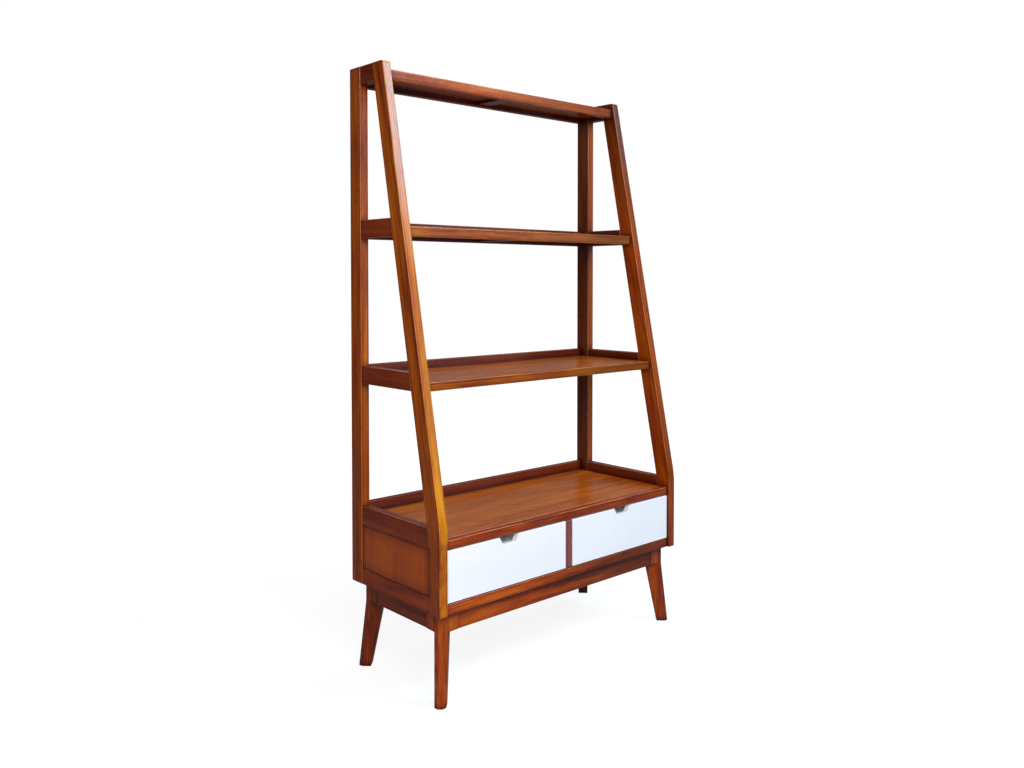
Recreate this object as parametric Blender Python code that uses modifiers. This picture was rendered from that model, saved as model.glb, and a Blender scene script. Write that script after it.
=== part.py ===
"""Ladder shelf: two leaning side frames, three lipped shelves and a two-drawer cabinet on a
splayed-leg base.  Metres, +Z up, front faces -Y, origin on the floor under the middle."""
import math

import bmesh
import bpy
from mathutils import Vector

# Overall sizes
WIDTH = 0.984
DEPTH = 0.425
HEIGHT = 1.752
TOP_DEPTH = 0.168
CASE_Z = 0.250
FIT_GAP = 0.0003

# Side frames
POST_T = 0.0275
BACK_POST_D = 0.054
FRONT_POST_TOP_D = 0.053
FRONT_POST_KNEE_D = 0.057
FRONT_FOOT_D = 0.046
KNEE_Z = 0.487
KNEE_R = 0.30
POST_CORNER_R = 0.010
POST_EDGE_R = 0.0025
RAIL_RECESS = 0.001

# Shelf levels: name, top of the side rails, height of the side rails, lip above the panel
LEVELS = (
    ("top", HEIGHT, 0.0520, 0.0215),
    ("upper", 1.3108, 0.0530, 0.0235),
    ("middle", 0.8882, 0.0510, 0.0250),
)
RAIL_EDGE_R = 0.002
FRONT_RAIL_T = 0.020
FRONT_RAIL_SET = 0.008
FRONT_EDGE_R = 0.004
BACK_RAIL_T = 0.020
BACK_RAIL_SET = 0.003
SHELF_T = 0.015
BRACE_W = 0.045
BRACE_T = 0.010
BRACE_EDGE_R = 0.0015
PANEL_EDGE_R = 0.0008

# Cabinet
CASE_TOP = 0.480
CASE_RAIL_H = 0.056
CASE_LIP = 0.030
CASE_FOOT_RAIL_H = 0.045
FACE_Y = -DEPTH / 2 + FRONT_RAIL_SET
FRONT_TOP_RAIL_H = 0.0265
FRONT_LOW_RAIL_H = 0.0285
SIDE_PANEL_T = 0.010
SIDE_PANEL_SET = 0.0032
BACK_PANEL_T = 0.006
FLOOR_PANEL_T = 0.012
FLOOR_PANEL_Z = 0.262
DIVIDER_T = 0.0245

# Drawers
DRAWER_X0 = 0.0145
DRAWER_X1 = 0.4625
DRAWER_Z0 = 0.2805
DRAWER_Z1 = 0.4215
DRAWER_FRONT_T = 0.019
DRAWER_EDGE_R = 0.0012
NOTCH_TOP_W = 0.072
NOTCH_FOOT_W = 0.049
NOTCH_D = 0.0215
NOTCH_R = 0.003
BOX_WALL = 0.012
BOX_SIDE_GAP = 0.006
BOX_Z0 = 0.2845
BOX_H = 0.133
BOX_LENGTH = 0.340
BOX_FLOOR_T = 0.006
FINGER_ROOM = 0.024
BOX_FLOOR_RISE = 0.006
BOX_EDGE_R = 0.001
RUNNER_W = 0.022
RUNNER_SETBACK = 0.004
RUNNER_BACK_GAP = 0.020
RUNNER_Z0 = FLOOR_PANEL_Z + FLOOR_PANEL_T + FIT_GAP
RUNNER_H = 0.0085

# Base
BASE_INSET_X = 0.0235
BASE_INSET_Y = 0.0285
APRON_H = 0.0545
APRON_T = 0.020
BLOCK_X = 0.062
BLOCK_Y = 0.062
BLOCK_IN = 0.030
NECK_FACE = 0.0268
NECK_IN = 0.0300
FOOT_FACE = 0.0226
FOOT_IN = 0.0190
FOOT_SPLAY = 0.0150
CORNER_CUT = 0.0100
FOOT_CORNER_CUT = 0.0090
SHOULDER_H = 0.0012
LEG_EDGE_R = 0.0022

# Base colour and roughness of each kind of surface
FINISHES = {
    "frame": ((0.36, 0.13, 0.045), 0.32),
    "shelf": ((0.40, 0.15, 0.055), 0.30),
    "panel": ((0.38, 0.14, 0.05), 0.34),
    "leg": ((0.32, 0.11, 0.04), 0.32),
    "drawer_white": ((0.86, 0.90, 0.94), 0.38),
    "inner_wood": ((0.74, 0.75, 0.76), 0.55),
}

HALF_W = WIDTH / 2
BACK_Y = DEPTH / 2
FRONT_Y = -DEPTH / 2
INNER_X = HALF_W - POST_T
TOP_FRONT_Y = BACK_Y - TOP_DEPTH
LEAN = (TOP_FRONT_Y - FRONT_Y) / (HEIGHT - KNEE_Z)
REAR_LEAN = LEAN - (FRONT_POST_KNEE_D - FRONT_POST_TOP_D) / (HEIGHT - KNEE_Z)
BACK_POST_FRONT_Y = BACK_Y - BACK_POST_D
SIDES = (("left", -1), ("right", 1))


def clear_scene():
    for old in list(bpy.data.objects):
        bpy.data.objects.remove(old, do_unlink=True)


def make_collection(name):
    found = bpy.data.collections.new(name)
    bpy.context.scene.collection.children.link(found)
    return found


def make_material(name, color, roughness):
    mat = bpy.data.materials.new(name)
    mat.use_nodes = True
    shader = mat.node_tree.nodes["Principled BSDF"]
    shader.inputs["Base Color"].default_value = (*color, 1.0)
    shader.inputs["Roughness"].default_value = roughness
    return mat


def finish(obj, kind, edge_r=0.0, segments=2):
    """Give a piece its own material and its rounded edges."""
    obj.data.materials.clear()
    obj.data.materials.append(make_material(obj.name + "_finish", *FINISHES[kind]))
    if edge_r > 0:
        bevel = obj.modifiers.new("rounded_edges", 'BEVEL')
        bevel.width = edge_r
        bevel.segments = segments
        bevel.limit_method = 'ANGLE'
        bevel.angle_limit = math.radians(28)
        bevel.harden_normals = False
    return obj


def box(name, x, y, z, kind, edge_r=RAIL_EDGE_R, segments=2):
    """Rectangular member from its (low, high) limits along each axis."""
    mesh = bpy.data.meshes.new(name)
    bm = bmesh.new()
    bmesh.ops.create_cube(bm, size=1.0)
    size = Vector((x[1] - x[0], y[1] - y[0], z[1] - z[0]))
    bmesh.ops.scale(bm, vec=size, verts=bm.verts)
    bm.to_mesh(mesh)
    bm.free()
    obj = bpy.data.objects.new(name, mesh)
    obj.location = ((x[0] + x[1]) / 2, (y[0] + y[1]) / 2, (z[0] + z[1]) / 2)
    SHELF.objects.link(obj)
    return finish(obj, kind, edge_r, segments)


def outline(name, points, low, high, plane, kind, edge_r, segments=2):
    """Flat outline made solid: plane 'YZ' is thick along X, plane 'XZ' is thick along Y."""
    curve = bpy.data.curves.new(name, 'CURVE')
    curve.dimensions = '2D'
    curve.fill_mode = 'BOTH'
    curve.extrude = (high - low) / 2
    spline = curve.splines.new('POLY')
    spline.points.add(len(points) - 1)
    for spot, (a, b) in zip(spline.points, points):
        spot.co = (a, b, 0.0, 1.0)
    spline.use_cyclic_u = True
    drawn = bpy.data.objects.new(name + "_outline", curve)
    mesh = bpy.data.meshes.new_from_object(drawn)
    bpy.data.objects.remove(drawn, do_unlink=True)
    mesh.name = name
    bm = bmesh.new()
    bm.from_mesh(mesh)
    bmesh.ops.remove_doubles(bm, verts=bm.verts, dist=0.00001)
    bmesh.ops.dissolve_limit(bm, angle_limit=math.radians(0.5), verts=bm.verts, edges=bm.edges)
    middle = (low + high) / 2
    for vert in bm.verts:
        a, b, c = vert.co
        vert.co = (middle + c, a, b) if plane == 'YZ' else (a, middle - c, b)
    bmesh.ops.recalc_face_normals(bm, faces=bm.faces)
    centre = sum((vert.co for vert in bm.verts), Vector()) / len(bm.verts)
    bmesh.ops.translate(bm, vec=-centre, verts=bm.verts)
    bm.to_mesh(mesh)
    bm.free()
    obj = bpy.data.objects.new(name, mesh)
    obj.location = centre
    SHELF.objects.link(obj)
    return finish(obj, kind, edge_r, segments)


def arc(centre, radius, start, stop, steps):
    """Points on an arc, angles in radians."""
    spots = []
    for i in range(steps + 1):
        angle = start + (stop - start) * i / steps
        spots.append((centre[0] + radius * math.cos(angle), centre[1] + radius * math.sin(angle)))
    return spots


def lean_front_y(z):
    """Front edge of a front post at height z."""
    return FRONT_Y if z <= KNEE_Z else FRONT_Y + LEAN * (z - KNEE_Z)


def lean_rear_y(z):
    """Rear edge of a front post at height z."""
    return max(FRONT_Y + FRONT_FOOT_D, FRONT_Y + FRONT_POST_KNEE_D + REAR_LEAN * (z - KNEE_Z))


def front_post_profile():
    """Vertical foot, a softly rounded knee, then a straight lean to the rounded top corner."""
    tilt = math.atan(LEAN)
    knee_centre = (FRONT_Y + KNEE_R, KNEE_Z - KNEE_R * math.tan(tilt / 2))
    knee = arc(knee_centre, KNEE_R, math.pi, math.pi - tilt, 6)
    top_y = lean_front_y(HEIGHT)
    half_turn = (math.pi / 2 - tilt) / 2
    reach = POST_CORNER_R * math.tan(half_turn)
    centre = (top_y + reach, HEIGHT - POST_CORNER_R)
    corner = arc(centre, POST_CORNER_R, math.pi - tilt, math.pi / 2, 5)
    rear_turn_z = KNEE_Z - (FRONT_POST_KNEE_D - FRONT_FOOT_D) / REAR_LEAN
    rear_foot_y = FRONT_Y + FRONT_FOOT_D
    return ([(FRONT_Y, CASE_Z)] + knee + corner
            + [(lean_rear_y(HEIGHT), HEIGHT), (rear_foot_y, rear_turn_z), (rear_foot_y, CASE_Z)])


def build_side_frames():
    for side, sign in SIDES:
        limits = sorted((sign * INNER_X, sign * HALF_W))
        post_y = (BACK_POST_FRONT_Y, BACK_Y)
        box("back_post_" + side, limits, post_y, (CASE_Z, HEIGHT), "frame", POST_EDGE_R, 3)
        outline("front_post_" + side, front_post_profile(), *limits, 'YZ', "frame", POST_EDGE_R, 3)


def side_rail(name, sign, z0, z1):
    """Rail between the posts, its front end cut to the lean of the front post."""
    limits = sorted((sign * INNER_X, sign * (HALF_W - RAIL_RECESS)))
    rear = BACK_POST_FRONT_Y - FIT_GAP
    points = [(rear, z0), (rear, z1), (lean_rear_y(z1) + FIT_GAP, z1), (lean_rear_y(z0) + FIT_GAP, z0)]
    outline(name, points, *limits, 'YZ', "frame", RAIL_EDGE_R)


def build_shelves():
    span = (-INNER_X + FIT_GAP, INNER_X - FIT_GAP)
    for name, top, rail_h, lip in LEVELS:
        low = top - rail_h
        for side, sign in SIDES:
            side_rail(name + "_side_rail_" + side, sign, low, top)
        back_y = (BACK_Y - BACK_RAIL_SET - BACK_RAIL_T, BACK_Y - BACK_RAIL_SET)
        box(name + "_back_rail", span, back_y, (low, top), "frame")
        panel_top = top - lip
        face = lean_front_y(panel_top) + FRONT_RAIL_SET
        front_y = (face, face + FRONT_RAIL_T)
        box(name + "_front_rail", span, front_y, (low, panel_top), "frame", FRONT_EDGE_R, 3)
        inside_y = (front_y[1] + FIT_GAP, back_y[0] - FIT_GAP)
        panel_z = (panel_top - SHELF_T, panel_top)
        box(name + "_shelf", span, inside_y, panel_z, "shelf", PANEL_EDGE_R, 1)
        brace_z = (panel_z[0] - FIT_GAP - BRACE_T, panel_z[0] - FIT_GAP)
        box(name + "_brace", (-BRACE_W / 2, BRACE_W / 2), inside_y, brace_z, "frame", BRACE_EDGE_R)


def build_cabinet():
    span = (-INNER_X + FIT_GAP, INNER_X - FIT_GAP)
    back_y = (BACK_Y - BACK_RAIL_SET - BACK_RAIL_T, BACK_Y - BACK_RAIL_SET)
    face_y = (FACE_Y, FACE_Y + FRONT_RAIL_T)
    rail_z = (CASE_TOP - CASE_RAIL_H, CASE_TOP)
    foot_z = (CASE_Z, CASE_Z + CASE_FOOT_RAIL_H)
    panel_y = (lean_rear_y(CASE_Z) + FIT_GAP, BACK_POST_FRONT_Y - FIT_GAP)
    for side, sign in SIDES:
        side_rail("case_side_top_rail_" + side, sign, *rail_z)
        side_rail("case_side_foot_rail_" + side, sign, *foot_z)
        outer = HALF_W - SIDE_PANEL_SET
        limits = sorted((sign * outer, sign * (outer - SIDE_PANEL_T)))
        panel_z = (foot_z[1] + FIT_GAP, rail_z[0] - FIT_GAP)
        box("case_side_panel_" + side, limits, panel_y, panel_z, "panel", PANEL_EDGE_R, 1)
    top_z = CASE_TOP - CASE_LIP
    box("case_back_rail", span, back_y, rail_z, "frame")
    box("case_top_front_rail", span, face_y, (top_z - FRONT_TOP_RAIL_H, top_z), "frame", FRONT_EDGE_R, 3)
    inside_y = (face_y[1] + FIT_GAP, back_y[0] - FIT_GAP)
    box("case_top", span, inside_y, (top_z - SHELF_T, top_z), "shelf", PANEL_EDGE_R, 1)
    low_z = (CASE_Z, CASE_Z + FRONT_LOW_RAIL_H)
    box("case_low_front_rail", span, face_y, low_z, "frame")
    box("case_low_back_rail", span, back_y, low_z, "frame")
    panel_z = (low_z[1] + FIT_GAP, rail_z[0] - FIT_GAP)
    back_panel_y = (back_y[0], back_y[0] + BACK_PANEL_T)
    box("case_back_panel", span, back_panel_y, panel_z, "panel", PANEL_EDGE_R, 1)
    floor_z = (FLOOR_PANEL_Z, FLOOR_PANEL_Z + FLOOR_PANEL_T)
    box("case_floor", span, inside_y, floor_z, "panel", PANEL_EDGE_R, 1)
    divider_z = (low_z[1] + FIT_GAP, top_z - FRONT_TOP_RAIL_H - FIT_GAP)
    divider_y = (FACE_Y, back_panel_y[0] - FIT_GAP)
    box("case_divider", (-DIVIDER_T / 2, DIVIDER_T / 2), divider_y, divider_z, "frame")
    run_y = (face_y[1] + RUNNER_SETBACK, back_y[0] - RUNNER_BACK_GAP)
    run_z = (RUNNER_Z0, RUNNER_Z0 + RUNNER_H)
    x0, x1 = box_x()
    for side, sign in SIDES:
        for place, low in (("inner", x0), ("outer", x1 - RUNNER_W)):
            limits = sorted((sign * low, sign * (low + RUNNER_W)))
            box("runner_" + side + "_" + place, limits, run_y, run_z, "inner_wood", BOX_EDGE_R, 1)


def box_x():
    """Low and high X of a right drawer's box."""
    return (DRAWER_X0 + BOX_SIDE_GAP, DRAWER_X1 - BOX_SIDE_GAP)


def drawer_front_profile(sign):
    """Front board outline with the finger notch in the middle of its top edge."""
    low, high = sorted((sign * DRAWER_X0, sign * DRAWER_X1))
    mid = (low + high) / 2
    top_half = NOTCH_TOP_W / 2
    foot_half = NOTCH_FOOT_W / 2
    foot_z = DRAWER_Z1 - NOTCH_D
    lean = math.atan2(top_half - foot_half, NOTCH_D)
    points = [(low, DRAWER_Z0), (low, DRAWER_Z1), (mid - top_half, DRAWER_Z1)]
    reach = NOTCH_R * math.tan((math.pi / 2 - lean) / 2)
    left = arc((mid - foot_half + reach, foot_z + NOTCH_R), NOTCH_R, math.pi + lean, 1.5 * math.pi, 3)
    right = arc((mid + foot_half - reach, foot_z + NOTCH_R), NOTCH_R, -math.pi / 2, -lean, 3)
    return points + left + right + [(mid + top_half, DRAWER_Z1), (high, DRAWER_Z1), (high, DRAWER_Z0)]


def build_drawer(side, sign):
    """White front with its finger notch, and an open box behind it, all on one sliding parent."""
    x0, x1 = box_x()
    slide = bpy.data.objects.new("drawer_" + side, None)
    slide.location = (sign * (DRAWER_X0 + DRAWER_X1) / 2, FACE_Y, (DRAWER_Z0 + DRAWER_Z1) / 2)
    SHELF.objects.link(slide)
    pieces = []
    front_y = (FACE_Y, FACE_Y + DRAWER_FRONT_T)
    body_y = (front_y[1] + FIT_GAP, front_y[1] + BOX_LENGTH)
    body_z = (BOX_Z0, BOX_Z0 + BOX_H)
    names = "drawer_" + side + "_"
    profile = drawer_front_profile(sign)
    pieces.append(outline(names + "front", profile, *front_y, 'XZ', "drawer_white", DRAWER_EDGE_R))
    for place, low in (("inner_side", x0), ("outer_side", x1 - BOX_WALL)):
        limits = sorted((sign * low, sign * (low + BOX_WALL)))
        pieces.append(box(names + place, limits, body_y, body_z, "inner_wood", BOX_EDGE_R, 1))
    inner = sorted((sign * (x0 + BOX_WALL + FIT_GAP), sign * (x1 - BOX_WALL - FIT_GAP)))
    wall_y = (front_y[1] + FINGER_ROOM, front_y[1] + FINGER_ROOM + BOX_WALL)
    pieces.append(box(names + "inner_front", inner, wall_y, body_z, "inner_wood", BOX_EDGE_R, 1))
    back_y = (body_y[1] - BOX_WALL, body_y[1])
    pieces.append(box(names + "back", inner, back_y, body_z, "inner_wood", BOX_EDGE_R, 1))
    floor_z = (BOX_Z0 + BOX_FLOOR_RISE, BOX_Z0 + BOX_FLOOR_RISE + BOX_FLOOR_T)
    floor_y = (wall_y[1] + FIT_GAP, back_y[0] - FIT_GAP)
    pieces.append(box(names + "floor", inner, floor_y, floor_z, "inner_wood", PANEL_EDGE_R, 1))
    for piece in pieces:
        piece.location -= slide.location
        piece.parent = slide


def leg_section(face, inward, cut):
    """Two outer faces with the corner between them cut flat, and a blade running inwards."""
    return [(cut, 0), (face, 0), (face + inward, inward), (inward, face + inward), (0, face), (0, cut)]


def build_leg(name, sign_x, sign_y):
    """Corner block at apron height, shoulder, then a splayed taper down to the floor."""
    cut = CORNER_CUT
    block = [(cut, 0), (BLOCK_X, 0), (BLOCK_X, BLOCK_IN), (BLOCK_IN, BLOCK_Y), (0, BLOCK_Y), (0, cut)]
    block_top = CASE_Z - FIT_GAP
    block_low = CASE_Z - APRON_H
    rings = (
        (block, block_top, 0.0),
        (block, block_low, 0.0),
        (leg_section(NECK_FACE, NECK_IN, cut), block_low - SHOULDER_H, 0.0),
        (leg_section(FOOT_FACE, FOOT_IN, FOOT_CORNER_CUT), 0.0, FOOT_SPLAY),
    )
    bm = bmesh.new()
    loops = []
    for section, z, splay in rings:
        loop = []
        for u, v in section:
            loop.append(bm.verts.new((sign_x * (splay - u), sign_y * (splay - v), z)))
        loops.append(loop)
    count = len(block)
    bm.faces.new(loops[0])
    bm.faces.new(list(reversed(loops[-1])))
    for upper, lower in zip(loops, loops[1:]):
        for i in range(count):
            j = (i + 1) % count
            bm.faces.new((upper[i], lower[i], lower[j], upper[j]))
    bmesh.ops.recalc_face_normals(bm, faces=bm.faces)
    mesh = bpy.data.meshes.new(name)
    bm.to_mesh(mesh)
    bm.free()
    obj = bpy.data.objects.new(name, mesh)
    obj.location = (sign_x * (HALF_W - BASE_INSET_X), sign_y * (BACK_Y - BASE_INSET_Y), 0.0)
    SHELF.objects.link(obj)
    finish(obj, "leg", LEG_EDGE_R)


def build_base():
    corner_x = HALF_W - BASE_INSET_X
    corner_y = BACK_Y - BASE_INSET_Y
    apron_z = (CASE_Z - APRON_H, CASE_Z - FIT_GAP)
    long_x = corner_x - BLOCK_X - FIT_GAP
    short_y = corner_y - BLOCK_Y - FIT_GAP
    for place, sign in (("front", -1), ("back", 1)):
        limits = sorted((sign * corner_y, sign * (corner_y - APRON_T)))
        box("apron_" + place, (-long_x, long_x), limits, apron_z, "leg")
        for side, sign_x in SIDES:
            build_leg("leg_" + place + "_" + side, sign_x, sign)
    for side, sign in SIDES:
        limits = sorted((sign * corner_x, sign * (corner_x - APRON_T)))
        box("apron_" + side, limits, (-short_y, short_y), apron_z, "leg")


clear_scene()
SHELF = make_collection("ladder_shelf")
build_side_frames()
build_shelves()
build_cabinet()
for drawer_side, drawer_sign in SIDES:
    build_drawer(drawer_side, drawer_sign)
build_base()
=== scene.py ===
"""Ladder shelf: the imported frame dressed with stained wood, white drawer fronts and soft studio light."""
import math
import random

import bpy
from mathutils import Euler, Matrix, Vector


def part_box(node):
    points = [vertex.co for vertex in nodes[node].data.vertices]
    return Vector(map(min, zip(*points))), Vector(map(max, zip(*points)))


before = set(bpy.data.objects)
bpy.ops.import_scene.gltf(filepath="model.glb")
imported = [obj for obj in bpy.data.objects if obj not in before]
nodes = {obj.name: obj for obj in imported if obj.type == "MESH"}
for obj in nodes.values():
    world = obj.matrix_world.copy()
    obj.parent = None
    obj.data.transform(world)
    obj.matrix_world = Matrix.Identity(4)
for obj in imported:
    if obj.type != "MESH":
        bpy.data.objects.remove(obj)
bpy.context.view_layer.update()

# Camera
CAMERA_AT = (-1.932, -2.0926, 1.1440)
CAMERA_YAW = math.radians(42.17)
CAMERA_PITCH = math.radians(1.66)
CAMERA_LENS = 32.03
CAMERA_SHIFT = (-0.0022, -0.0778)

# Light on the set: ambient strength, and how the pale floor glows and bounces
AMBIENT = 0.08
FLOOR_RADIUS = 22.0
FLOOR_DIFFUSE = 0.20
FLOOR_GLOW = (0.86, 1.0)
FLOOR_GLOW_REACH = (1.3, 4.5)
FLOOR_BOUNCE = 0.05

# Rounding of the boards' edges, how far stain darkens in from outer edges, and how far painted shade darkens
# inside corners
ROUND_OVER = 0.0010
SHARP_EDGE = math.radians(40)
WELD_GAP = 0.00002
RIM_WIDTH = 0.009
CORNER_SHADE_REACH = 0.024

# The left front leg's block carries a lighter wing inboard of this seam and above this height
WING_INSET = 0.0415
WING_SEAM_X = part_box("leg_front_right")[1][0] - WING_INSET
WING_LOW_Z = 0.1955

# A post's face is told apart by being within this depth of the post's own side
POST_FACE_SKIN = 0.0015

# Heights on the posts: the knee, the golden stretch of the left front post, the right one's dark top
KNEE_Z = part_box("case_top_front_rail")[1][2]
FOOT_FADE = (KNEE_Z + 0.05, KNEE_Z - 0.02)
GOLD_FADE_IN = (0.34, 0.54)
GOLD_FADE_OUT = (0.85, 1.02)
CROWN_FADE_IN = (1.25, 1.68)

# Width and strength of the dark border on the side panels
DARK_BORDER_WIDTH = 0.034
DARK_BORDER_STRENGTH = 0.55

# Front posts lean back by this angle from upright
POST_LEAN = math.radians(11.5)

# Stain colours, linear, as the middle tone of each kind of board
STAIN = {
    "gold": (0.545, 0.138, 0.0005),
    "amber": (0.345, 0.061, 0.0008),
    "chestnut": (0.305, 0.048, 0.0008),
    "panel": (0.450, 0.078, 0.0047),
    "tabletop": (0.475, 0.095, 0.0030),
    "rust": (0.370, 0.050, 0.0009),
    "russet": (0.400, 0.062, 0.0012),
    "leg": (0.390, 0.053, 0.0008),
    "honey": (0.395, 0.083, 0.0020),
    "maroon": (0.220, 0.029, 0.0046),
    "wine": (0.180, 0.022, 0.0030),
    # The right back post's darker stain is painted shade on its inner sides
    "shade": (0.110, 0.023, 0.0042),
    "plum": (0.265, 0.070, 0.0590),
}

# Multipliers of a board's stain: its grain, its patches, its edges, and the painted shade in its inside
# corners
DARK_STREAK = (0.38, 0.24, 0.32)
LIGHT_STREAK = (1.40, 1.80, 1.70)
HEAVY_STAIN = (0.66, 0.42, 0.60)
THIN_STAIN = (1.16, 1.38, 1.10)
# Darker tone for the stain along outer edges, for the painted shade in inside corners and for the side
# panels' dark border
DARK_STAIN_AND_SHADE = (0.34, 0.20, 0.28)
# Paler rounded edges: partly wear, partly a painted highlight
EDGE_WEAR_AND_HIGHLIGHT = (2.30, 3.40, 9.00)

# Multipliers of the stain on single faces and stretches
WING_TINT = (1.25, 1.75, 2.00)
# The right back post's front face is painted lighter than its shaded sides
PAINTED_LIT_FACE_TINT = (2.40, 2.00, 1.40)
OUTER_FACE_TINT = (0.73, 0.56, 1.20)
OUTER_FOOT_TINT = (0.74, 0.62, 1.50)
GOLDEN_TINT = (1.12, 1.40, 1.00)
CROWN_TINT = (0.45, 0.45, 0.60)

# How strongly the broad patches and the dark rims show, and how coarse the patches are per metre
PATCH_STRENGTH = 0.8
RIM_STRENGTH = 0.8
HEAVY_SCALE = (4.5, 22.0, 22.0)
THIN_SCALE = (3.1, 30.0, 30.0)
WEAR_SCALE = (16.0, 16.0, 16.0)
DRIFT_SCALE = (5.0, 9.0, 30.0)
DRIFT_REACH = 0.35
DRIFT_FADE_IN = (0.03, 0.48)

# Grain features, as noise cells per metre along the grain and across it, and their multipliers
SWAY_SCALE = (1.3, 7.0, 7.0)
RIPPLE_SCALE = (5.0, 42.0, 42.0)
BAND_SCALE = (1.6, 19.0, 19.0)
STREAK_SCALE = (4.2, 110.0, 110.0)
FIBRE_SCALE = (18.0, 640.0, 640.0)
PORE_SCALE = (46.0, 1500.0, 1500.0)
KNOT_SCALE = (11.0, 34.0, 34.0)
RING_PATCH_SCALE = (2.0, 26.0, 26.0)
RING_RATE = 1150.0
RING_SWAY = 0.062
RING_RIPPLE = 0.010
KNOT_RARITY = 0.86
RING_TINT = (0.62, 0.48, 0.50)
FIBRE_TINT = (0.58, 0.50, 0.50)
PORE_TINT = (0.36, 0.28, 0.28)
KNOT_TINT = (0.20, 0.10, 0.10)

# Paint: noise cells per metre, and the lighter and the darker colour of a faint mottle
MOTTLE_SCALE = (9.0, 9.0, 14.0)
RUB_SCALE = (40.0, 40.0, 40.0)
PEEL_SCALE = (420.0, 420.0, 420.0)
DRAWER_WHITE = ((0.86, 0.80, 0.82), (0.83, 0.775, 0.80))
BOX_GREY = ((0.82, 0.78, 0.80), (0.76, 0.72, 0.74))

# Colours of the set and its lamps
WHITE = (1.0, 1.0, 1.0)
SKY = (0.85, 0.93, 1.0)
BLUE_SKY = (0.52, 0.82, 1.0)

# Lamps: name, place, target, width and height, watts, colour
LAMPS = (
    ("window", (-1.3, -2.3, 2.2), (-0.3, 0.0, 0.8), (1.4, 1.4), 61.0, WHITE),
    ("sheen", (2.0, -2.9, 3.9), (0.0, 0.0, 0.9), (2.3, 1.8), 205.0, BLUE_SKY),
    ("wall", (2.6, -3.6, 1.7), (0.0, 0.0, 1.0), (2.4, 2.0), 17.0, SKY),
    ("strip", (-3.2, -2.1, 1.3), (0.0, 0.0, 0.9), (0.7, 2.2), 44.0, WHITE),
    ("back", (2.7, 2.9, 1.6), (0.0, 0.0, 0.6), (2.0, 1.4), 1.0, WHITE),
    ("rear", (0.6, 3.4, 3.4), (0.0, 0.2, 0.8), (2.4, 1.6), 32.0, WHITE),
    ("side", (3.6, 1.2, 2.2), (0.4, 0.0, 0.8), (1.6, 2.0), 26.0, WHITE),
    ("top", (0.9, 0.4, 4.2), (0.2, 0.0, 0.5), (1.3, 1.3), 30.0, WHITE),
)


class Nodes:
    """Builds the node tree of a material or a node group."""

    def __init__(self, tree):
        self.tree = tree

    def add(self, kind, **settings):
        node = self.tree.nodes.new(kind)
        for key, value in settings.items():
            setattr(node, key, value)
        return node

    def put(self, socket, value):
        """Link an output into a socket, or set the socket's own value."""
        if hasattr(value, "is_linked"):
            self.tree.links.new(value, socket)
        else:
            socket.default_value = value

    def math(self, operation, a, b=0.0, c=0.0, clamp=False):
        node = self.add("ShaderNodeMath", operation=operation, use_clamp=clamp)
        for socket, value in zip(node.inputs, (a, b, c)):
            self.put(socket, value)
        return node.outputs[0]

    def vector(self, operation, a, b):
        node = self.add("ShaderNodeVectorMath", operation=operation)
        self.put(node.inputs[0], a)
        self.put(node.inputs[1], b)
        return node.outputs[0]

    def noise(self, coords, scale, detail=3.0, rough=0.5, distortion=0.0):
        """Noise stretched by its own scale along each axis."""
        node = self.add("ShaderNodeTexNoise")
        self.put(node.inputs["Vector"], self.vector('MULTIPLY', coords, scale))
        node.inputs["Scale"].default_value = 1.0
        node.inputs["Detail"].default_value = detail
        node.inputs["Roughness"].default_value = rough
        node.inputs["Distortion"].default_value = distortion
        return node.outputs["Fac"]

    def span(self, value, low, high, to_low=0.0, to_high=1.0):
        """Remap value from low..high to to_low..to_high, clamped."""
        node = self.add("ShaderNodeMapRange", clamp=True)
        self.put(node.inputs[0], value)
        for socket, number in zip(node.inputs[1:5], (low, high, to_low, to_high)):
            socket.default_value = number
        return node.outputs[0]

    def object_coords(self):
        return self.add("ShaderNodeTexCoord").outputs["Object"]

    def position(self, axis):
        """One coordinate of the point being shaded, in the shelf's own frame at rest."""
        place = self.add("ShaderNodeSeparateXYZ")
        self.put(place.inputs[0], self.object_coords())
        return place.outputs[axis]

    def relief(self, shader, height, strength, depth):
        """Fine bumps on a shader's surface."""
        bump = self.add("ShaderNodeBump")
        bump.inputs["Strength"].default_value = strength
        bump.inputs["Distance"].default_value = depth
        self.put(bump.inputs["Height"], height)
        self.put(shader.inputs["Normal"], bump.outputs[0])

    def rounded_edge(self, lean):
        """1 on the rounded edges of a square-sawn board that leans back, 0 on its flat faces."""
        normal = self.add("ShaderNodeTexCoord").outputs["Normal"]
        across = (0, math.cos(lean), -math.sin(lean))
        along = (0, math.sin(lean), math.cos(lean))
        squareness = 0.0
        for axis in ((1, 0, 0), across, along):
            facing = self.add("ShaderNodeVectorMath", operation='DOT_PRODUCT')
            self.put(facing.inputs[0], normal)
            facing.inputs[1].default_value = axis
            squareness = self.math('MAXIMUM', squareness, self.math('ABSOLUTE', facing.outputs["Value"]))
        return self.span(squareness, 0.965, 0.80)

    def closeness(self, reach, low, high, inside=False):
        """How near an inside corner is, or with inside=True how near an outer edge is, 0 to 1."""
        corner = self.add("ShaderNodeAmbientOcclusion", samples=4, inside=inside)
        corner.inputs["Distance"].default_value = reach
        return self.span(corner.outputs["AO"], low, high)

    def mix(self, blend, factor, a, b):
        node = self.add("ShaderNodeMix", data_type='RGBA', blend_type=blend)
        self.put(node.inputs[0], factor)
        self.put(node.inputs[6], a)
        self.put(node.inputs[7], b)
        return node.outputs[2]


def rgba(color):
    return (*color, 1.0)


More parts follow.
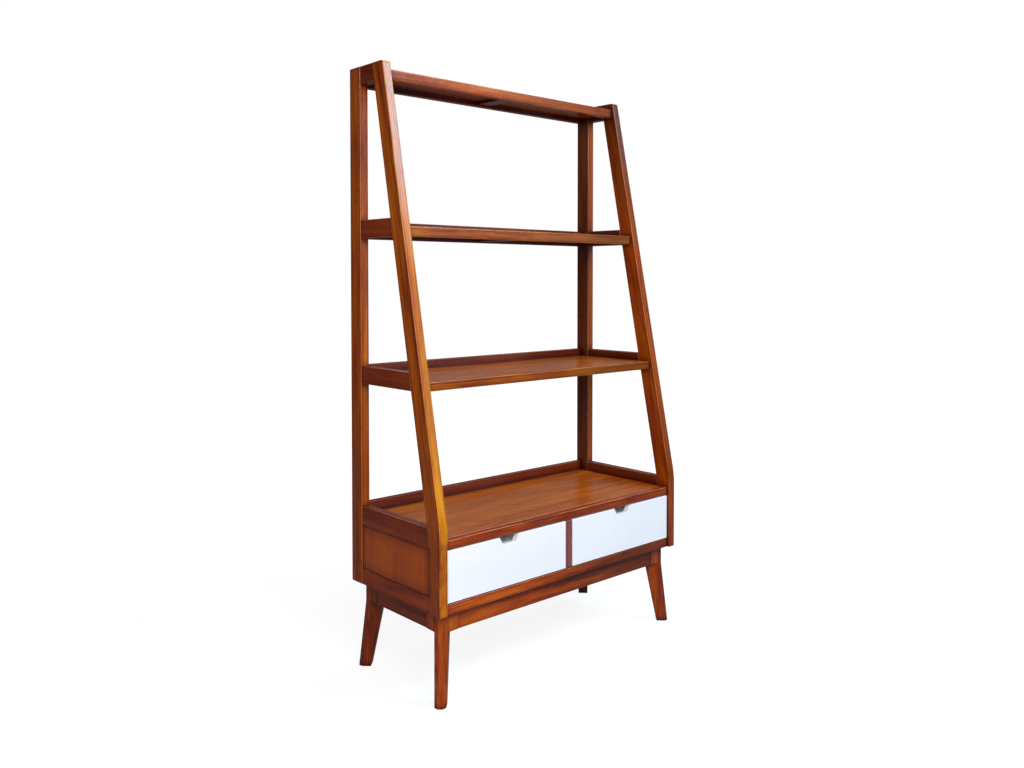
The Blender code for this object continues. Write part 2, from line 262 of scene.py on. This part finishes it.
def make_grain_group():
    """Stained timber in grain space: X runs along the grain, Y and Z across it, in metres."""
    group = bpy.data.node_groups.new("stained_timber", 'ShaderNodeTree')
    face = group.interface
    face.new_socket("Vector", in_out='INPUT', socket_type='NodeSocketVector')
    for name in ("Dark", "Middle", "Light"):
        face.new_socket(name, in_out='INPUT', socket_type='NodeSocketColor')
    face.new_socket("Figure", in_out='INPUT', socket_type='NodeSocketFloat')
    face.new_socket("Color", in_out='OUTPUT', socket_type='NodeSocketColor')
    face.new_socket("Roughness", in_out='OUTPUT', socket_type='NodeSocketFloat')
    face.new_socket("Height", in_out='OUTPUT', socket_type='NodeSocketFloat')
    n = Nodes(group)
    source = n.add("NodeGroupInput")
    target = n.add("NodeGroupOutput")
    coords = source.outputs["Vector"]
    figure = source.outputs["Figure"]

    # growth rings around a pith, wandering along the board's length
    sway = n.noise(coords, SWAY_SCALE, detail=2.0)
    ripple = n.noise(coords, RIPPLE_SCALE, detail=3.0)
    split = n.add("ShaderNodeSeparateXYZ")
    n.put(split.inputs[0], coords)
    radius_sq = n.math('ADD', n.math('POWER', split.outputs[1], 2.0), n.math('POWER', split.outputs[2], 2.0))
    radius = n.math('SQRT', radius_sq)
    radius = n.math('MULTIPLY_ADD', sway, RING_SWAY, radius)
    radius = n.math('MULTIPLY_ADD', ripple, RING_RIPPLE, radius)
    wave = n.math('SINE', n.math('MULTIPLY', radius, RING_RATE))
    ring = n.math('POWER', n.math('MULTIPLY_ADD', wave, 0.5, 0.5), 2.0)
    ring = n.math('MULTIPLY', ring, n.span(n.noise(coords, RING_PATCH_SCALE), 0.36, 0.62))

    # broad bands, streaks, fibres, open pores and rare pin knots
    band = n.noise(coords, BAND_SCALE, detail=4.0, rough=0.6, distortion=0.5)
    streak = n.noise(coords, STREAK_SCALE, detail=4.0, rough=0.65, distortion=0.3)
    fibre = n.noise(coords, FIBRE_SCALE, detail=3.0, rough=0.6)
    pore = n.span(n.noise(coords, PORE_SCALE, detail=1.0), 0.62, 0.72)
    cells = n.add("ShaderNodeTexVoronoi", feature='F1')
    n.put(cells.inputs["Vector"], n.vector('MULTIPLY', coords, KNOT_SCALE))
    cells.inputs["Scale"].default_value = 1.0
    chance = n.add("ShaderNodeSeparateColor")
    n.put(chance.inputs[0], cells.outputs["Color"])
    knot = n.span(cells.outputs["Distance"], 0.05, 0.13, 1.0, 0.0)
    knot = n.math('MULTIPLY', knot, n.math('GREATER_THAN', chance.outputs[0], KNOT_RARITY))

    tone = n.math('ADD', n.math('MULTIPLY', band, 0.58), n.math('MULTIPLY', streak, 0.42))
    low = n.math('MULTIPLY', n.span(tone, 0.50, 0.36), figure)
    high = n.math('MULTIPLY', n.span(tone, 0.50, 0.66), figure)
    color = n.mix('MIX', low, source.outputs["Middle"], source.outputs["Dark"])
    color = n.mix('MIX', high, color, source.outputs["Light"])
    color = n.mix('MULTIPLY', n.math('MULTIPLY', ring, figure, clamp=True), color, rgba(RING_TINT))
    color = n.mix('MULTIPLY', n.span(fibre, 0.40, 0.62, 0.36, 0.0), color, rgba(FIBRE_TINT))
    color = n.mix('MULTIPLY', n.math('MULTIPLY', pore, 0.40), color, rgba(PORE_TINT))
    color = n.mix('MULTIPLY', n.math('MULTIPLY', knot, 0.85), color, rgba(KNOT_TINT))
    n.put(target.inputs["Color"], color)

    rough = n.math('MULTIPLY_ADD', streak, 0.12, 0.18)
    rough = n.math('MULTIPLY_ADD', pore, 0.14, rough)
    n.put(target.inputs["Roughness"], rough)
    height = n.math('MULTIPLY', fibre, 0.55)
    height = n.math('MULTIPLY_ADD', ring, 0.25, height)
    height = n.math('MULTIPLY_ADD', pore, -0.65, height)
    height = n.math('MULTIPLY_ADD', knot, -0.5, height)
    n.put(target.inputs["Height"], height)
    return group


def grain_rotation(direction, lean):
    """Rotation that turns an object's coordinates into grain space."""
    if direction == 'X':
        return (0.0, 0.0, 0.0)
    if direction == 'Y':
        return (0.0, 0.0, -math.pi / 2)
    return (lean, math.pi / 2, 0.0)


def stained(n, color, place, figure):
    """Broad uneven stain: darker where it lay heavy, more golden where it lay thin."""
    lay = place.outputs[0]
    heavy = n.noise(lay, HEAVY_SCALE, detail=3.0, rough=0.6)
    thin = n.noise(lay, THIN_SCALE, detail=2.0)
    strength = PATCH_STRENGTH * figure
    color = n.mix('MULTIPLY', n.span(heavy, 0.46, 0.66, 0.0, strength), color, rgba(HEAVY_STAIN))
    return n.mix('MULTIPLY', n.span(thin, 0.50, 0.36, 0.0, strength), color, rgba(THIN_STAIN))


def handled(n, color, edge, wear_and_highlight):
    """Painted shade in inside corners, darker stain along outer edges, and pale rounded edges that are
    partly wear and partly a painted highlight.
    """
    patchy = n.span(n.noise(n.object_coords(), WEAR_SCALE), 0.35, 0.6, 0.4, 1.0)
    worn_and_highlit = n.math('MULTIPLY', edge, patchy)
    rim = n.math('MULTIPLY', n.closeness(RIM_WIDTH, 0.97, 0.62, inside=True), patchy)
    rim = n.math('SUBTRACT', rim, worn_and_highlit, clamp=True)
    # painted shade: darkens the wood near inside corners and between parts
    corner_shade = n.closeness(CORNER_SHADE_REACH, 0.98, 0.50)
    color = n.mix('MULTIPLY', corner_shade, color, rgba(DARK_STAIN_AND_SHADE))
    color = n.mix('MULTIPLY', n.math('MULTIPLY', rim, RIM_STRENGTH), color, rgba(DARK_STAIN_AND_SHADE))
    return n.mix('MULTIPLY', n.math('MULTIPLY', worn_and_highlit, wear_and_highlight), color, rgba(EDGE_WEAR_AND_HIGHLIGHT)), worn_and_highlit


def leg_wing(n, color):
    """The lighter piece of the front leg's block, next to the apron."""
    wing = n.math('LESS_THAN', n.math('ABSOLUTE', n.position(0)), WING_SEAM_X)
    wing = n.math('MULTIPLY', wing, n.math('GREATER_THAN', n.position(2), WING_LOW_Z))
    return n.mix('MULTIPLY', wing, color, rgba(WING_TINT))


def painted_lit_face(n, color):
    """The right back post's front face, painted lighter than its sides, which carry painted shade."""
    front = n.math('LESS_THAN', n.position(1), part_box("back_post_right")[0][1] + POST_FACE_SKIN)
    return n.mix('MULTIPLY', front, color, rgba(PAINTED_LIT_FACE_TINT))


def golden_knee(n, color):
    """The left front post: a redder outer face, darker at its foot, and a golden front at the knee."""
    height = n.position(2)
    outer = n.math('LESS_THAN', n.position(0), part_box("front_post_left")[0][0] + POST_FACE_SKIN)
    foot = n.math('MULTIPLY', outer, n.span(height, *FOOT_FADE))
    color = n.mix('MULTIPLY', foot, color, rgba(OUTER_FOOT_TINT))
    color = n.mix('MULTIPLY', outer, color, rgba(OUTER_FACE_TINT))
    glow = n.math('SUBTRACT', n.span(height, *reversed(GOLD_FADE_OUT)), outer, clamp=True)
    glow = n.math('MULTIPLY', glow, n.span(height, *GOLD_FADE_IN))
    return n.mix('MULTIPLY', glow, color, rgba(GOLDEN_TINT))


def dark_crown(n, color):
    """The right front post darkens towards its top."""
    return n.mix('MULTIPLY', n.span(n.position(2), *CROWN_FADE_IN), color, rgba(CROWN_TINT))


def darkened_border(n, color, name):
    """A side panel, darker towards its four sides."""
    low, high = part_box(name)
    for axis in (1, 2):
        middle = (low[axis] + high[axis]) / 2
        half = (high[axis] - low[axis]) / 2
        off = n.math('ABSOLUTE', n.math('SUBTRACT', n.position(axis), middle))
        border_dark = n.span(off, half - DARK_BORDER_WIDTH, half)
        color = n.mix('MULTIPLY', n.math('MULTIPLY', border_dark, DARK_BORDER_STRENGTH), color, rgba(DARK_STAIN_AND_SHADE))
    return color


def faded_right(n, color, fade):
    """A front board that darkens towards the right end."""
    drift = n.noise(n.object_coords(), DRIFT_SCALE)
    drift = n.math('MULTIPLY_ADD', drift, DRIFT_REACH, n.position(0))
    return n.mix('MULTIPLY', n.span(drift, *DRIFT_FADE_IN), color, rgba((fade, fade * 0.92, fade)))


def wood_material(node, stain, direction='X', lean=0.0, figure=0.5, tint=1.0, fade=1.0):
    """One board's own piece of timber: grain direction, place in the log, stain, local marks, and painted
    shade and highlights.
    """
    name = "wood_" + node
    picker = random.Random(name)
    mat = bpy.data.materials.new(name)
    mat.use_nodes = True
    n = Nodes(mat.node_tree)
    shader = mat.node_tree.nodes["Principled BSDF"]
    place = n.add("ShaderNodeMapping")
    place.inputs["Rotation"].default_value = grain_rotation(direction, lean)
    pith = (picker.uniform(-9, 9), picker.uniform(0.10, 0.22), picker.uniform(-0.16, 0.16))
    place.inputs["Location"].default_value = pith
    n.put(place.inputs["Vector"], n.object_coords())
    timber = n.add("ShaderNodeGroup", node_tree=GRAIN)
    n.put(timber.inputs["Vector"], place.outputs[0])
    strength = tint * picker.uniform(0.95, 1.05)
    middle = [c * strength for c in STAIN[stain]]
    timber.inputs["Middle"].default_value = rgba(middle)
    timber.inputs["Dark"].default_value = rgba([c * k for c, k in zip(middle, DARK_STREAK)])
    timber.inputs["Light"].default_value = rgba([c * k for c, k in zip(middle, LIGHT_STREAK)])
    timber.inputs["Figure"].default_value = figure

    # the splayed legs aren't square to the axes, so the test for rounded edges doesn't hold on them
    edge = 0.0 if stain == "leg" else n.rounded_edge(lean)
    color = stained(n, timber.outputs["Color"], place, figure)
    # rounded edges painted paler, as wear and as a painted highlight, most on the gold post
    color, worn_and_highlit = handled(n, color, edge, wear_and_highlight=0.9 if stain == "gold" else 0.7)
    if node == "leg_front_left":
        color = leg_wing(n, color)
    if node == "back_post_right":
        color = painted_lit_face(n, color)
    if node == "front_post_left":
        color = golden_knee(n, color)
    if node == "front_post_right":
        color = dark_crown(n, color)
    if "side_panel" in node:
        color = darkened_border(n, color, node)
    if fade < 1.0:
        color = faded_right(n, color, fade)
    n.put(shader.inputs["Base Color"], color)
    n.put(shader.inputs["Roughness"], n.math('MULTIPLY_ADD', worn_and_highlit, 0.08, timber.outputs["Roughness"]))
    shader.inputs["Specular IOR Level"].default_value = 0.38
    n.relief(shader, timber.outputs["Height"], strength=0.20, depth=0.0005)
    return mat


def paint_material(name, tones, rough, peel):
    """Sprayed or rolled paint: faint mottling and a fine orange-peel surface."""
    mat = bpy.data.materials.new(name)
    mat.use_nodes = True
    n = Nodes(mat.node_tree)
    shader = mat.node_tree.nodes["Principled BSDF"]
    coords = n.object_coords()
    light, shade = tones
    mottle = n.noise(coords, MOTTLE_SCALE, detail=4.0)
    color = n.mix('MIX', n.span(mottle, 0.35, 0.65), rgba(shade), rgba(light))
    n.put(shader.inputs["Base Color"], color)
    rub = n.noise(coords, RUB_SCALE)
    n.put(shader.inputs["Roughness"], n.span(rub, 0.3, 0.7, rough - 0.04, rough + 0.05))
    shader.inputs["Specular IOR Level"].default_value = 0.4
    n.relief(shader, n.noise(coords, PEEL_SCALE, detail=2.0), strength=peel, depth=0.0004)
    return mat


def look_of(name):
    """Stain, grain direction, lean, figure, strength and fade for a wooden node."""
    if name == "front_post_left":
        return ("gold", 'Z', POST_LEAN, 0.95)
    if name == "front_post_right":
        return ("chestnut", 'Z', POST_LEAN, 0.8)
    if name == "back_post_right":
        # this darker stain is painted shade
        return ("shade", 'Z', 0.0, 0.7)
    if name == "back_post_left":
        return ("amber", 'Z', 0.0, 0.9)
    if name.startswith("leg_"):
        return ("leg", 'Z', 0.0, 1.0, 1.0 if "front" in name else 0.7)
    if "side_panel" in name:
        return ("panel", 'Z', 0.0, 0.3)
    if "divider" in name:
        return ("plum", 'Z', 0.0, 0.4)
    if "side_foot_rail" in name:
        return ("maroon", 'Y', 0.0, 0.8, 1.35)
    if name.endswith(("side_rail_right", "side_top_rail_right")):
        return ("maroon", 'Y', 0.0, 0.8, 0.62)
    if "side" in name or name in ("apron_left", "apron_right"):
        return ("maroon", 'Y', 0.0, 0.8)
    if name.endswith("_shelf") or name == "case_top":
        return ("tabletop", 'X', 0.0, 0.6)
    if "back_rail" in name:
        return ("wine", 'X', 0.0, 0.8)
    if "brace" in name:
        return ("maroon", 'Y', 0.0, 0.5)
    if name == "top_front_rail":
        return ("russet", 'X', 0.0, 1.2, 0.88, 0.72)
    if name in ("upper_front_rail", "middle_front_rail"):
        return ("honey", 'X', 0.0, 0.8, 1.0, 0.52)
    fade = 0.46 if name in ("case_low_front_rail", "apron_front") else 0.72
    return ("rust", 'X', 0.0, 1.15, 1.05, fade)


def soften_edges(obj):
    """Round over the board's sharp edges and let its faces shade smoothly into them."""
    weld = obj.modifiers.new("weld", 'WELD')
    weld.merge_threshold = WELD_GAP
    round_over = obj.modifiers.new("round_over", 'BEVEL')
    round_over.width = ROUND_OVER
    round_over.segments = 2
    round_over.limit_method = 'ANGLE'
    round_over.angle_limit = SHARP_EDGE
    round_over.use_clamp_overlap = True
    normals = obj.modifiers.new("soft_edges", 'WEIGHTED_NORMAL')
    normals.keep_sharp = False
    normals.weight = 80


def dress_nodes():
    """Give every board its own wood, the drawer fronts white paint and the boxes pale grey paint."""
    white = paint_material("drawer_white", DRAWER_WHITE, rough=0.38, peel=0.05)
    grey = paint_material("box_paint", BOX_GREY, rough=0.5, peel=0.1)
    for name, obj in nodes.items():
        if name in ("drawer_left_front", "drawer_right_front"):
            mat = white
        elif name.startswith(("drawer_", "runner_")):
            mat = grey
        else:
            mat = wood_material(name, *look_of(name))
        for slot in obj.material_slots:
            slot.material = mat
        soften_edges(obj)


def place_camera():
    data = bpy.data.cameras.new("camera")
    data.lens = CAMERA_LENS
    data.sensor_width = 36.0
    data.shift_x, data.shift_y = CAMERA_SHIFT
    data.dof.use_dof = False
    cam = bpy.data.objects.new("camera", data)
    cam.location = CAMERA_AT
    cam.rotation_euler = Euler((math.pi / 2 - CAMERA_PITCH, 0.0, -CAMERA_YAW), 'XYZ')
    bpy.context.scene.collection.objects.link(cam)
    bpy.context.scene.camera = cam


def area_light(name, location, target, size, power, color):
    data = bpy.data.lights.new(name, 'AREA')
    data.shape = 'RECTANGLE'
    data.size, data.size_y = size
    data.energy = power
    data.color = color
    lamp = bpy.data.objects.new(name, data)
    lamp.location = location
    aim = Vector(target) - Vector(location)
    lamp.rotation_euler = aim.to_track_quat('-Z', 'Y').to_euler()
    lamp.visible_camera = False
    bpy.context.scene.collection.objects.link(lamp)


def pale_floor():
    """A wide floor that looks almost white and paler still far off, but throws little light back."""
    bpy.ops.mesh.primitive_circle_add(vertices=96, radius=FLOOR_RADIUS, fill_type='NGON', location=(0, 0, 0))
    floor = bpy.context.object
    floor.name = "floor"
    mat = bpy.data.materials.new("floor")
    mat.use_nodes = True
    n = Nodes(mat.node_tree)
    shader = mat.node_tree.nodes["Principled BSDF"]
    shader.inputs["Base Color"].default_value = rgba((FLOOR_DIFFUSE,) * 3)
    shader.inputs["Roughness"].default_value = 0.9
    shader.inputs["Specular IOR Level"].default_value = 0.0
    shader.inputs["Emission Color"].default_value = rgba(WHITE)
    away = n.add("ShaderNodeVectorMath", operation='LENGTH')
    n.put(away.inputs[0], n.object_coords())
    glow = n.span(away.outputs["Value"], *FLOOR_GLOW_REACH, *FLOOR_GLOW)
    seen = n.add("ShaderNodeLightPath").outputs["Is Camera Ray"]
    strength = n.add("ShaderNodeMix", data_type='FLOAT')
    n.put(strength.inputs[0], seen)
    strength.inputs[2].default_value = FLOOR_BOUNCE
    n.put(strength.inputs[3], glow)
    n.put(shader.inputs["Emission Strength"], strength.outputs[0])
    floor.data.materials.append(mat)


def white_backdrop():
    """A world that shows white behind the shelf and lights it only faintly."""
    world = bpy.data.worlds.new("studio")
    bpy.context.scene.world = world
    world.use_nodes = True
    n = Nodes(world.node_tree)
    back = world.node_tree.nodes["Background"]
    back.inputs[0].default_value = rgba(WHITE)
    seen = n.add("ShaderNodeLightPath").outputs["Is Camera Ray"]
    n.put(back.inputs[1], n.span(seen, 0.0, 1.0, AMBIENT, 1.0))


def studio():
    """Plain white set, lit by soft lamps: the strongest, bluish, from high at the front right."""
    bpy.context.scene.view_settings.view_transform = 'Standard'
    pale_floor()
    white_backdrop()
    for lamp in LAMPS:
        area_light(*lamp)


GRAIN = make_grain_group()
place_camera()
dress_nodes()
studio()
